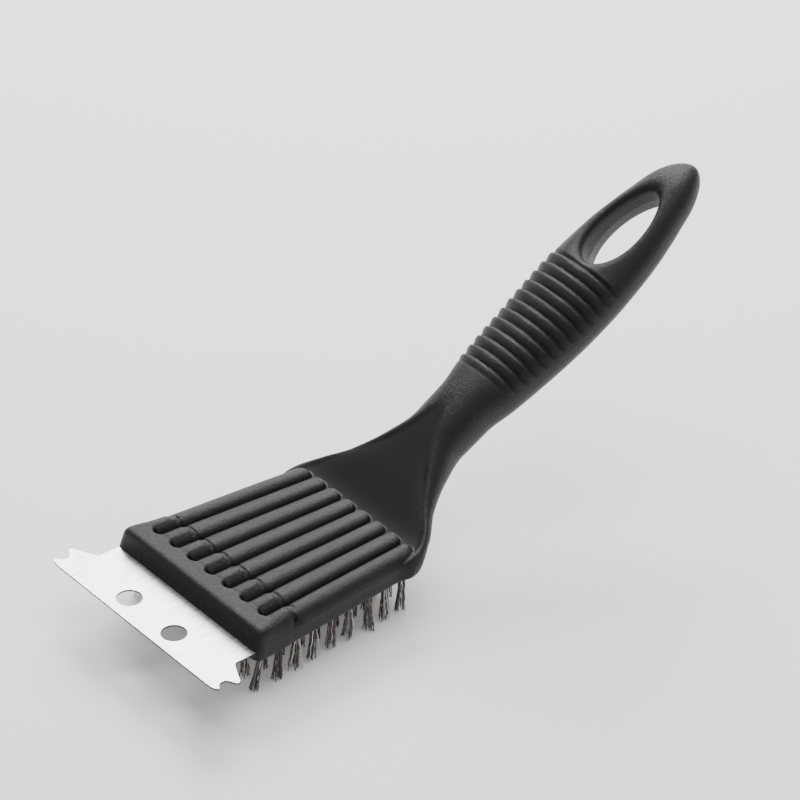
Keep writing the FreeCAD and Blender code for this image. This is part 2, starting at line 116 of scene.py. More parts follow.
class WIREBRUSH_PG_handle(bpy.types.PropertyGroup):
    detail: length("Surface detail", "Distance between the points of the moulding's surface", 0.00046)
    triangles: bpy.props.IntProperty(name="Triangles", description="Most triangles in the moulding",
                                     default=188000, min=20000, max=195000)
    rib_step: length("Rib step", "How proud the ribs' front part stands of the rest", 0.0008)
    grip_rise: length("Grip rib rise", "Height of the grip ribs over their grooves", 0.00092)
    plastic: colour("Plastic", "Colour of the moulding", (0.0055, 0.0055, 0.0059))


class WIREBRUSH_PG_blade(bpy.types.PropertyGroup):
    edge: length("Edge radius", "Rounding of the blade's stamped edges", 0.00007)
    steel: colour("Steel", "Colour of the blade", (0.88, 0.86, 0.83))


class WIREBRUSH_PG_wires(bpy.types.PropertyGroup):
    count: bpy.props.IntProperty(name="Wires in a tuft", description="Wire ends that show in each tuft",
                                 default=24, min=4, max=60)
    radius: length("Wire radius", "Radius of a single wire", 0.000155)
    spread: length("Spread", "How far a tuft's tips spread from its middle", 0.00085)
    crimp: length("Crimp", "Height of the waves in a wire", 0.00010)
    seed: bpy.props.IntProperty(name="Seed", description="Seed of the wires' scatter", default=7)
    wire: colour("Wire", "Colour of the wires", (0.17, 0.15, 0.14))


class WIREBRUSH_PG_stage(bpy.types.PropertyGroup):
    floor: colour("Floor", "Colour of the floor", (0.97, 0.97, 0.98))
    key: bpy.props.FloatProperty(name="Key light", description="Power of the large soft light",
                                 default=7.0, unit="POWER")
    lens: bpy.props.FloatProperty(name="Lens", description="Focal length of the camera", default=270.0,
                                  unit="CAMERA")


# ----------------------------------------------------------------------------- shader maths
class Wire:
    """A shader socket that can be used in an expression."""

    def __init__(self, paint, socket):
        self.paint = paint
        self.socket = socket

    def _maths(self, operation, first, second):
        return self.paint.node("ShaderNodeMath", {"operation": operation}, {0: first, 1: second})

    def __add__(self, other):
        return self._maths("ADD", self, other)

    def __radd__(self, other):
        return self._maths("ADD", other, self)

    def __mul__(self, other):
        return self._maths("MULTIPLY", self, other)

    def __rmul__(self, other):
        return self._maths("MULTIPLY", other, self)


class Paint:
    """A material's node tree, with its surface shader and object coordinates."""

    def __init__(self, name, **constants):
        self.material = bpy.data.materials.new(name)
        self.material.use_nodes = True
        self.tree = self.material.node_tree
        self.shader = self.tree.nodes["Principled BSDF"]
        for socket, value in constants.items():
            label = socket.replace("_", " ").title().replace("Ior", "IOR")
            self.shader.inputs[label].default_value = value

    def node(self, kind, settings=None, inputs=None, output=0):
        made = self.tree.nodes.new(kind)
        for name, value in (settings or {}).items():
            if name == "stops":
                for stop, (place, grey) in zip(self._stops(made, len(value)), value):
                    stop.position = place
                    stop.color = (grey, grey, grey, 1.0)
            else:
                setattr(made, name, value)
        for name, value in (inputs or {}).items():
            if isinstance(value, Wire):
                self.tree.links.new(value.socket, made.inputs[name])
            else:
                made.inputs[name].default_value = value
        return Wire(self, made.outputs[output])

    @staticmethod
    def _stops(ramp, count):
        stops = ramp.color_ramp.elements
        while len(stops) < count:
            stops.new(0.5)
        return stops

    def place(self, scale=(1.0, 1.0, 1.0), turn=0.0):
        coords = self.node("ShaderNodeTexCoord", output="Object")
        return self.node("ShaderNodeMapping", None,
                         {"Vector": coords, "Rotation": (0.0, 0.0, turn), "Scale": scale})

    def noise(self, where, scale, detail=2.0, roughness=0.5):
        return self.node("ShaderNodeTexNoise", {"noise_dimensions": "3D"},
                         {"Vector": where, "Scale": scale, "Detail": detail, "Roughness": roughness})

    def blend(self, share, first, second):
        """A colour between two others."""
        made = self.tree.nodes.new("ShaderNodeMix")
        made.data_type = "RGBA"
        for index, value in ((0, share), (6, first), (7, second)):
            if isinstance(value, Wire):
                self.tree.links.new(value.socket, made.inputs[index])
            else:
                made.inputs[index].default_value = (*value, 1.0) if hasattr(value, "__len__") else value
        return Wire(self, made.outputs[2])

    def relief(self, height, strength, distance, over=None):
        inputs = {"Height": height, "Strength": strength, "Distance": distance}
        if over is not None:
            inputs["Normal"] = over
        return self.node("ShaderNodeBump", None, inputs)

    def feed(self, **links):
        for socket, value in links.items():
            self.tree.links.new(value.socket, self.shader.inputs[socket.replace("_", " ").title()])
        return self.material


def shade(amount, tint):
    return tuple(min(1.0, channel * amount) for channel in tint)


def moulded_plastic(tint):
    paint = Paint("Grained black plastic", ior=1.46, specular_ior_level=0.33)
    where = paint.place()
    grained = paint.node("ShaderNodeAttribute", {"attribute_name": "grained"}, output="Fac")
    grain = paint.noise(where, GRAIN, 3.0, 0.65)
    mottle = paint.noise(where, MOTTLE, 3.0, 0.6)
    cloud = paint.noise(where, CLOUD, 2.0)
    base = paint.blend(cloud, shade(0.82, tint), shade(1.25, tint))
    base = paint.blend(mottle * 0.5, base, shade(1.5, tint))
    base = paint.blend(grained, POLISHED_PLASTIC, base)
    rough = 0.30 + grain * 0.14 + cloud * 0.06
    normal = paint.relief(grain * (0.15 + grained * 0.85), 1.0, GRAIN_HEIGHT)
    normal = paint.relief(mottle * (0.1 + grained * 0.9), 0.5, MOTTLE_HEIGHT, normal)
    return paint.feed(base_color=base, roughness=rough, normal=normal)


def brushed_sheet(tint):
    paint = Paint("Brushed steel sheet", metallic=1.0)
    lines = paint.noise(paint.place(BRUSHED_LINES, BRUSHED_TURN), 2.0, 4.0, 0.7)
    fine = paint.noise(paint.place(BRUSHED_HAIRS, BRUSHED_TURN), 2.0, 3.0, 0.6)
    smear = paint.noise(paint.place(), SMEAR, 3.0)
    streak = paint.node("ShaderNodeValToRGB", {"stops": [(0.40, 0.0), (0.66, 1.0)]}, {"Fac": lines})
    base = paint.blend(streak, shade(0.32, tint), shade(1.1, tint))
    base = paint.blend(fine * 0.5, base, shade(0.60, tint))
    base = paint.blend(smear * 0.25, base, shade(0.85, tint))
    rough = 0.26 + lines * 0.16 + fine * 0.10
    normal = paint.relief(lines * 0.6 + fine * 0.4, 0.35, BRUSHED_HEIGHT)
    return paint.feed(base_color=base, roughness=rough, normal=normal)


def sheared_edge(tint):
    paint = Paint("Sheared steel edge", metallic=1.0)
    bite = paint.noise(paint.place(SHEAR_LINES), 2.0, 2.0)
    base = paint.blend(bite, shade(0.03, tint), shade(0.12, tint))
    return paint.feed(base_color=base, roughness=0.45 + bite * 0.2)


def crimped_wire(tint):
    paint = Paint("Drawn steel wire", metallic=0.9)
    tone = paint.node("ShaderNodeAttribute", {"attribute_name": "wire_tone"}, output="Fac")
    stain = paint.noise(paint.place(), STAIN, 2.0)
    bright = paint.node("ShaderNodeValToRGB", {"stops": [(0.74, 0.0), (0.90, 1.0)]}, {"Fac": tone})
    base = paint.blend(tone, shade(0.45, tint), shade(1.35, tint))
    base = paint.blend(stain * 0.5, base, shade(0.6, (tint[0] * 1.08, tint[1], tint[2] * 0.92)))
    base = paint.blend(bright, base, BRIGHT_WIRE)
    rough = 0.30 + stain * 0.25
    return paint.feed(base_color=base, roughness=rough)


def flat_wire(tint):
    paint = Paint("Flat anchor wire", metallic=1.0)
    marks = paint.noise(paint.place(ANCHOR_LINES), 20.0, 2.0)
    base = paint.blend(marks, shade(0.8, tint), tint)
    return paint.feed(base_color=base, roughness=0.3 + marks * 0.2)


def pale_floor(tint):
    paint = Paint("Pale studio floor", roughness=0.6, emission_strength=0.15)
    paint.shader.inputs["Emission Color"].default_value = (1.0, 1.0, 1.0, 1.0)
    cloud = paint.noise(paint.place(), 3.0, 2.0)
    base = paint.blend(cloud, shade(0.995, tint), shade(1.0, tint))
    return paint.feed(base_color=base)


# ------------------------------------------------------------------------------ mesh helpers
def new_object(name, vertices, faces, material, smooth=True):
    mesh = bpy.data.meshes.new(name)
    mesh.from_pydata(vertices, [], faces)
    mesh.materials.append(material)
    made = bpy.data.objects.new(name, mesh)
    bpy.context.scene.collection.objects.link(made)
    if smooth:
        mesh.shade_smooth()
    return made


def plain_mesh(source, name):
    """The evaluated mesh of an object, as a new object without modifiers."""
    graph = bpy.context.evaluated_depsgraph_get()
    mesh = bpy.data.meshes.new_from_object(source.evaluated_get(graph))
    mesh.name = name
    bpy.data.objects.remove(source)
    made = bpy.data.objects.new(name, mesh)
    bpy.context.scene.collection.objects.link(made)
    return made


def settle(piece, slot, *nodes):
    """Let a finished piece ride on the brush and stand for its CAD nodes."""
    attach(piece, "root")
    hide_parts(*nodes)


# ------------------------------------------------------------------ the moulding's solid form
# Millimetres. X runs back from the head's front face, Z up from the blade's upper face.
def soft_min(first, second, blend):
    """The smaller of two distances, with the corner between them rounded over the blend."""
    close = np.maximum(blend - np.abs(first - second), 0.0) / blend
    return np.minimum(first, second) - close * close * blend * 0.25


def soft_max(first, second, blend):
    """The larger of two distances, with the corner between them rounded over the blend."""
    return -soft_min(-first, -second, blend)


def smooth_step(low, high, x):
    """Rises from 0 at the low value to 1 at the high one."""
    t = np.clip((x - low) / (high - low), 0.0, 1.0)
    return t * t * (3.0 - 2.0 * t)


def smooth_curve(stations, values, x):
    """A curve through the stations without overshoot."""
    stations = np.asarray(stations, float)
    values = np.asarray(values, float)
    chords = np.diff(values) / np.diff(stations)
    slopes = np.zeros(len(values))
    slopes[0], slopes[-1] = chords[0], chords[-1]
    same = chords[:-1] * chords[1:] > 0
    sums = np.where(same, chords[:-1] + chords[1:], 1.0)
    slopes[1:-1] = np.where(same, 2.0 * chords[:-1] * chords[1:] / sums, 0.0)
    x = np.clip(x, stations[0], stations[-1])
    k = np.clip(np.searchsorted(stations, x) - 1, 0, len(stations) - 2)
    span = stations[k + 1] - stations[k]
    t = (x - stations[k]) / span
    return (values[k] * (1 + 2 * t) * (1 - t) ** 2 + values[k + 1] * t * t * (3 - 2 * t)
            + span * (slopes[k] * t * (1 - t) ** 2 - slopes[k + 1] * t * t * (1 - t)))


# Head
HEAD_BOTTOM = -3.0
PLATE_TOP = 2.8
BAR_TOP = 6.6
SIDE_HALF, SIDE_TAPER, SIDE_DRAFT = 35.6, 0.094, 0.10   # half width in front, its loss rearwards and upwards
FRONT_DRAFT, FRONT_SLOPE = 0.25, 1.03                   # the front's lean, and the length of its slope
REAR_X, REAR_ROUND = 67.4, 7.6
STEP_X = 16.0                                           # where the bar ends and the ribs step down
SLOT_START, SLOT_HALF, SLOT_FLOOR, OUTER_SLOT = 10.4, 2.4, 3.1, 3.0
RIB_AXIS = 1.8
RIB_END, RIB_TAIL = 62.0, 3.5
RIB_PITCH_FRONT, RIB_PITCH_REAR = 8.48, 7.34
RIB_RADIUS_FRONT, RIB_RADIUS_REAR = 4.1, 3.5
OUTER_RIB = 3.5                                         # the outermost rib's middle, in rib pitches
RIB_SQUARE = 2.5                                        # how square a rib's section is
PROUD_START, PROUD_WIDE, SECOND_STEP = 9.0, 4.5, 1.3
GROOVE_DEPTH, GROOVE_X, GROOVE_HALF = 0.38, 1.9, 0.36

# Mouths of the tuft holes
OUTER_TUFT_FRONT, OUTER_TUFT_REAR = 30.4, 25.8
MOUTH_RADIUS, MOUTH_DEPTH = 1.75, 1.0

# Handle, by stations along its line
TILT = math.radians(28.5)
LINE_X, LINE_Z = 96.5, 18.5
NOSE_START, NOSE_END = 100.0, 114.7
STATIONS = (-40.0, -30.6, -20.4, -10.2, 0.0, 10.1, 20.4, 30.5, 40.6, 50.9, 61.0, 71.2, 81.4, 91.6,
            101.0, 108.0, 115.0)
WIDE = (60.0, 55.0, 38.7, 27.2, 20.0, 20.2, 24.7, 27.5, 29.4, 31.0, 31.6, 30.6, 28.6, 24.7, 20.2,
        17.8, 15.6)
THICK = (12.4, 13.4, 14.5, 15.9, 17.3, 17.6, 17.7, 17.8, 18.0, 18.1, 18.1, 17.8, 17.0, 15.6, 13.8,
         13.0, 12.0)
LIFT = (0.0, 0.0, 0.0, -0.2, -0.5, -0.4, -0.5, -0.65, -0.85, -0.65, -0.25, 0.05, 0.4, 0.7, 1.0,
        1.2, 1.0)
FAN_SQUARE, GRIP_SQUARER = 2.12, 0.23                   # how square the fan is, and what the grip adds
GRIP_START, GRIP_PITCH, GRIP_RIBS = 22.6, 3.85, 12
GRIP_CREST, GRIP_MEAN = 0.74, 0.66                      # a grip rib's crest in its pitch, and its mean height

# Fan recess, by stations along the head
FLOOR_STATIONS = (56.0, 62.0, 66.0, 78.0, 90.0, 99.0, 220.0)
FLOOR_HEIGHT = (2.8, 2.9, 4.2, 13.3, 22.6, 30.5, 190.0)
GAP_STATIONS = (60.0, 66.0, 70.6, 73.3, 79.4, 86.0, 92.0, 97.0)
GAP_HALF = (28.0, 26.6, 23.8, 21.2, 14.2, 7.6, 3.8, 1.4)
RECESS_START = 14.0                                     # how far ahead of the ribs' ends the recess starts

# Hanging hole
EYE_MIDDLE, EYE_HALF_LONG, EYE_HALF_WIDE, EYE_TAPER = 84.2, 15.4, 7.9, 0.16
EYE_DRAFT, EYE_DEEP = 0.22, 9.0


def handle_frame(x, z):
    """Distance along the handle's line, and height above it."""
    along = (x - LINE_X) * math.cos(TILT) + (z - LINE_Z) * math.sin(TILT)
    above = (z - LINE_Z) * math.cos(TILT) - (x - LINE_X) * math.sin(TILT)
    return along, above


def egg_hole(s, y, grow):
    """Distance to an egg-shaped hole, wider towards the head."""
    along = (s - EYE_MIDDLE) / (EYE_HALF_LONG + grow)
    side = y / ((EYE_HALF_WIDE + grow) * (1.0 - EYE_TAPER * along))
    return (np.hypot(along, side) - 1.0) * EYE_HALF_WIDE


def fan_recess(x, across, z):
    """Distance into the hollow between the fan's rims."""
    floor = smooth_curve(FLOOR_STATIONS, FLOOR_HEIGHT, x)
    gap = smooth_curve(GAP_STATIONS, GAP_HALF, x)
    recess = soft_max((floor - z) * 0.8, across - gap, 1.8)
    return soft_max(recess, RIB_END - RECESS_START - x, 1.0)


def front_bar(x, y, z, front, side, flank, pitch):
    """The bar across the head's front, with a slot between each two ribs."""
    bar = soft_max(soft_max(front, x - STEP_X - flank, 0.3 + 2.5 * flank), z - BAR_TOP, 1.8)
    bar = soft_max(bar, side, 3.0 + 2.4 * smooth_step(4.0, 14.0, x))
    u = y / pitch
    slot_y = (u - np.clip(np.round(u), -OUTER_SLOT, OUTER_SLOT)) * pitch
    slot = np.hypot(np.minimum(x - SLOT_START, 0.0), slot_y) - SLOT_HALF
    slot = soft_max(slot, SLOT_FLOOR - z, 1.5)
    return soft_max(bar, -slot, 1.3)


def handle_bar(s, n, across, grip_rise):
    """An oval bar along the sloping line, wide and flat at the head and ribbed at the grip."""
    nose_share = np.clip((s - NOSE_START) / (NOSE_END - NOSE_START), 0.0, 1.0)
    nose = np.sqrt(np.clip(1.0 - nose_share ** 2, 1e-4, 1.0))
    half = smooth_curve(STATIONS, WIDE, s) / 2.0 * nose
    deep = smooth_curve(STATIONS, THICK, s) / 2.0 * nose
    n = n - smooth_curve(STATIONS, LIFT, s)
    square = FAN_SQUARE + GRIP_SQUARER * smooth_step(-20.0, 8.0, s)
    oval = ((across / half) ** square + (np.abs(n) / deep) ** square) ** (1 / square)
    handle = (oval - 1.0) * np.minimum(deep, half)
    handle = np.maximum(handle, s - NOSE_END)

    # Each grip rib rises slowly and falls quickly, on the upper half only
    count = (s - GRIP_START) / GRIP_PITCH
    turn = np.mod(count + GRIP_CREST, 1.0)
    rise = np.sin(np.clip(turn / GRIP_CREST, 0.0, 1.0) * math.pi / 2) ** 0.8
    fall = np.cos((turn - GRIP_CREST) / (1.0 - GRIP_CREST) * math.pi / 2)
    wave = np.where(turn < GRIP_CREST, rise, fall)
    last = smooth_step(GRIP_RIBS - 0.65, GRIP_RIBS - 0.25, count)
    inside = smooth_step(-0.75, -0.35, count) * (1.0 - last)
    top = smooth_step(0.18, 0.70, n / deep)
    return handle - inside * top * grip_rise * (wave - GRIP_MEAN), n


def head_ribs(x, y, z, side, flank, pitch, radius, rib_step):
    """The head's ribs, with their prouder front part and their rounded rear ends."""
    u = y / pitch
    rib_y = (u - np.clip(np.floor(u) + 0.5, -OUTER_RIB, OUTER_RIB)) * pitch
    rib_y = np.where(np.abs(y) > OUTER_RIB * pitch, 0.0, rib_y)
    wide = radius + 0.12
    section = (np.abs(rib_y) / wide) ** RIB_SQUARE + (np.abs(z - RIB_AXIS) / radius) ** RIB_SQUARE
    ribs = section ** (1 / RIB_SQUARE) * radius - radius
    tall = radius + rib_step
    ribs = ribs + GROOVE_DEPTH * (1.0 - flank) * np.exp(-((x - STEP_X - GROOVE_X) / GROOVE_HALF) ** 2)
    proud = np.sqrt((rib_y / PROUD_WIDE) ** 2 + ((z - RIB_AXIS) / tall) ** 2) * tall - tall
    ribs = soft_max(soft_max(ribs, x - RIB_END - RIB_TAIL, 2.4), STEP_X - x, 0.2)
    second = soft_max(proud + rib_step * 0.5, x - STEP_X - SECOND_STEP, 0.15)
    proud = soft_max(proud, x - STEP_X, 0.15)
    proud = soft_max(np.minimum(proud, second), PROUD_START - x, 1.0)
    ribs = soft_max(ribs, side, 4.9 - 0.6 * smooth_step(20.0, 50.0, x))
    return np.minimum(ribs, soft_max(proud, side, 6.2))


def hole_mouths(x, y, z):
    """The mouths of the holes that the tufts are set in."""
    row = np.clip(np.round((x - TUFT_START) / TUFT_PITCH), 0, TUFT_ROWS - 1)
    spread = OUTER_TUFT_FRONT + (OUTER_TUFT_REAR - OUTER_TUFT_FRONT) * row / (TUFT_ROWS - 1.0)
    column = np.clip(np.round(y / (spread / OUTER_COLUMN)), -OUTER_COLUMN, OUTER_COLUMN)
    mouth = np.hypot(x - (TUFT_START + TUFT_PITCH * row), y - column * spread / OUTER_COLUMN) - MOUTH_RADIUS
    return soft_max(mouth, z - (HEAD_BOTTOM + MOUTH_DEPTH), 0.6)


def moulding_field(p, rib_step, grip_rise):
    """Distance to the moulding's surface, less than 0 inside it."""
    x, y, z = p[:, 0], p[:, 1], p[:, 2]
    across = np.abs(y)
    taper = np.clip((x - STEP_X) / (RIB_END - STEP_X), -0.4, 1.2)
    pitch = RIB_PITCH_FRONT + (RIB_PITCH_REAR - RIB_PITCH_FRONT) * taper
    radius = RIB_RADIUS_FRONT + (RIB_RADIUS_REAR - RIB_RADIUS_FRONT) * taper

    # Head plate
    side = across - (SIDE_HALF - SIDE_TAPER * x) + SIDE_DRAFT * (z - HEAD_BOTTOM)
    front = (FRONT_DRAFT * z - x) / FRONT_SLOPE
    flank = smooth_step(-1.2, 1.4, across - OUTER_RIB * pitch)
    plan = soft_max(side, front, 3.6)
    rear = soft_max(side, x - REAR_X, REAR_ROUND)
    plate = soft_max(soft_max(plan, rear, 0.5), z - PLATE_TOP, 1.5)

    # The head and the handle flow together, and the underside stays flat
    s, n = handle_frame(x, z)
    handle, n = handle_bar(s, n, across, grip_rise)
    handle = soft_max(handle, HEAD_BOTTOM - z, 3.0)
    handle = soft_max(handle, RIB_END - 2.0 - x, 2.0)
    body = soft_min(plate, handle, 4.0)
    body = soft_max(body, -fan_recess(x, across, z), 2.4)

    # Ribs and front bar stand on the plate
    body = soft_min(body, head_ribs(x, y, z, side, flank, pitch, radius, rib_step), 0.25)
    body = soft_min(body, front_bar(x, y, z, front, side, flank, pitch), 0.5)
    body = soft_max(body, HEAD_BOTTOM - z, 1.2)

    # Holes
    eye = egg_hole(s, y, EYE_DRAFT * np.clip(-n, 0.0, EYE_DEEP))
    body = soft_max(body, -eye, 3.0)
    return soft_max(body, -hole_mouths(x, y, z), 0.5)


BLOCK, BLOCKS_AT_ONCE = 8, 400                          # grid cells to a block's side, and blocks in one go
FAR_OUTSIDE = 9.0
SEAT_PASSES, SEAT_REACH, SHADE_REACH = 3, 0.05, 0.08    # how points are pulled onto the surface, and shaded


def sample_field(field, low, high, step):
    """The field on a grid, worked out in full only in the blocks near its surface."""
    counts = np.ceil((high - low) / step / BLOCK).astype(int)
    middles = [low[axis] + (np.arange(counts[axis]) + 0.5) * BLOCK * step for axis in range(3)]
    centres = np.stack(np.meshgrid(*middles, indexing="ij"), -1)
    rough = field(centres.reshape(-1, 3)).reshape(counts)
    values = np.empty(counts * BLOCK + 1, np.float32)
    values[:-1, :-1, :-1] = np.repeat(np.repeat(np.repeat(rough, BLOCK, 0), BLOCK, 1), BLOCK, 2)
    values[-1], values[:, -1], values[:, :, -1] = FAR_OUTSIDE, FAR_OUTSIDE, FAR_OUTSIDE
    near = np.argwhere(np.abs(rough) < BLOCK * step * 1.5)
    corner = np.stack(np.meshgrid(*[np.arange(BLOCK + 1)] * 3, indexing="ij"), -1).reshape(-1, 3)
    for chunk in np.array_split(near, max(1, len(near) // BLOCKS_AT_ONCE)):
        spots = (chunk[:, None] * BLOCK + corner[None]).reshape(-1, 3)
        values[spots[:, 0], spots[:, 1], spots[:, 2]] = field(low + spots * step)
    return values


def cell_points(values, cells, corners):
    """The middle of the crossings on each cell's edges, in cells from the grid's corner."""
    sums = np.zeros((len(cells), 3))
    hits = np.zeros(len(cells))
    for axis in range(3):
        for end in [corner for corner in corners if corner[axis] == 0]:
            other = list(end)
            other[axis] = 1
            first, second = cells + end, cells + other
            a = values[first[:, 0], first[:, 1], first[:, 2]]
            b = values[second[:, 0], second[:, 1], second[:, 2]]
            crossed = (a < 0) != (b < 0)
            share = np.where(crossed, a / np.where(crossed, a - b, 1.0), 0.0)
            spot = np.array(end, float)[None] + np.eye(3)[axis][None] * share[:, None]
            sums += spot * crossed[:, None]
            hits += crossed
    return cells + sums / hits[:, None]


def slope_of(field, points, reach):
    """How much the field changes along each axis over twice the reach."""
    return np.stack([field(points + shift) - field(points - shift) for shift in np.eye(3) * reach], 1)


def crossing_quads(inside, names, axis):
    """A quad of cell points round each grid edge along the axis that the surface crosses."""
    second, third = (axis + 1) % 3, (axis + 2) % 3
    flips = inside != np.roll(inside, -1, axis)
    cut = [slice(1, -1)] * 3
    cut[axis] = slice(0, -1)
    offset = np.ones(3, int)
    offset[axis] = 0
    spots = np.argwhere(flips[tuple(cut)]) + offset
    outward = inside[spots[:, 0], spots[:, 1], spots[:, 2]]
    ring = []
    for back_second, back_third in ((1, 1), (0, 1), (0, 0), (1, 0)):
        cell = spots.copy()
        cell[:, second] -= back_second
        cell[:, third] -= back_third
        ring.append(names[cell[:, 0], cell[:, 1], cell[:, 2]])
    ring = np.stack(ring, 1)
    ring[~outward] = ring[~outward][:, ::-1]
    return ring


def surface_of(field, low, high, step):
    """Points and quads of the surface where a field is zero, by dual cells on a grid."""
    values = sample_field(field, low, high, step)
    inside = values < 0
    size = np.array(values.shape)
    total = np.zeros(size - 1, np.uint8)
    corners = [(a, b, c) for a in (0, 1) for b in (0, 1) for c in (0, 1)]
    for a, b, c in corners:
        total += inside[a:size[0] - 1 + a, b:size[1] - 1 + b, c:size[2] - 1 + c]
    cells = np.argwhere((total > 0) & (total < 8))
    names = np.full(size - 1, -1, np.int64)
    names[cells[:, 0], cells[:, 1], cells[:, 2]] = np.arange(len(cells))
    points = low + cell_points(values, cells, corners) * step
    for _ in range(SEAT_PASSES):
        value = field(points)
        slope = slope_of(field, points, SEAT_REACH) / (2 * SEAT_REACH)
        move = -value[:, None] * slope / np.maximum((slope ** 2).sum(1), 0.2)[:, None]
        points += np.clip(move, -step * 0.7, step * 0.7)
    return points, np.concatenate([crossing_quads(inside, names, axis) for axis in range(3)])


# --------------------------------------------------------------------- geometry node helpers
class Tree:
    """A geometry node tree with named inputs, built one node at a time."""

    def __init__(self, name, inputs):
        self.tree = bpy.data.node_groups.new(name, "GeometryNodeTree")
        face = self.tree.interface
        face.new_socket("Geometry", in_out="OUTPUT", socket_type="NodeSocketGeometry")
        face.new_socket("Geometry", in_out="INPUT", socket_type="NodeSocketGeometry")
        self.keys = {}
        for label, kind in inputs.items():
            self.keys[label] = face.new_socket(label, in_out="INPUT", socket_type=kind).identifier
        self.inside = self.tree.nodes.new("NodeGroupInput")
        self.outside = self.tree.nodes.new("NodeGroupOutput")

    def input(self, label):
        return self.inside.outputs[label]

    def add(self, kind, settings=None, inputs=None):
        made = self.tree.nodes.new(kind)
        for name, value in (settings or {}).items():
            setattr(made, name, value)
        for name, value in (inputs or {}).items():
            if isinstance(value, bpy.types.NodeSocket):
                self.tree.links.new(value, made.inputs[name])
            elif isinstance(value, bpy.types.Node):
                self.tree.links.new(value.outputs[0], made.inputs[name])
            else:
                made.inputs[name].default_value = value
        return made

    def maths(self, operation, *values):
        return self.add("ShaderNodeMath", {"operation": operation}, dict(enumerate(values))).outputs[0]

    def vector(self, operation, *values):
        return self.add("ShaderNodeVectorMath", {"operation": operation}, dict(enumerate(values))).outputs[0]

    def finish(self, geometry):
        self.tree.links.new(geometry.outputs[0], self.outside.inputs[0])

    def apply(self, target, name, values):
        modifier = target.modifiers.new(self.tree.name, "NODES")
        modifier.node_group = self.tree
        for label, value in values.items():
            modifier[self.keys[label]] = value
        return plain_mesh(target, name)


ROOT_SCATTER, TIP_UNEVEN = 0.0008, 0.0009               # metres: wires apart in the hole, tips apart in height
WIRE_POINTS, CRIMP_TURNS = 15, (23.0, 19.0)             # points along a wire, and its two waves in radians
OUTWARD_SHARE, LOOSE_SHARE = 0.75, 0.5                  # how a wire's spread follows its root and its own lean
STRAY_POWER, STRAY_SHARE = 16.0, 2.6                    # how rare and how far the brightest wires stray


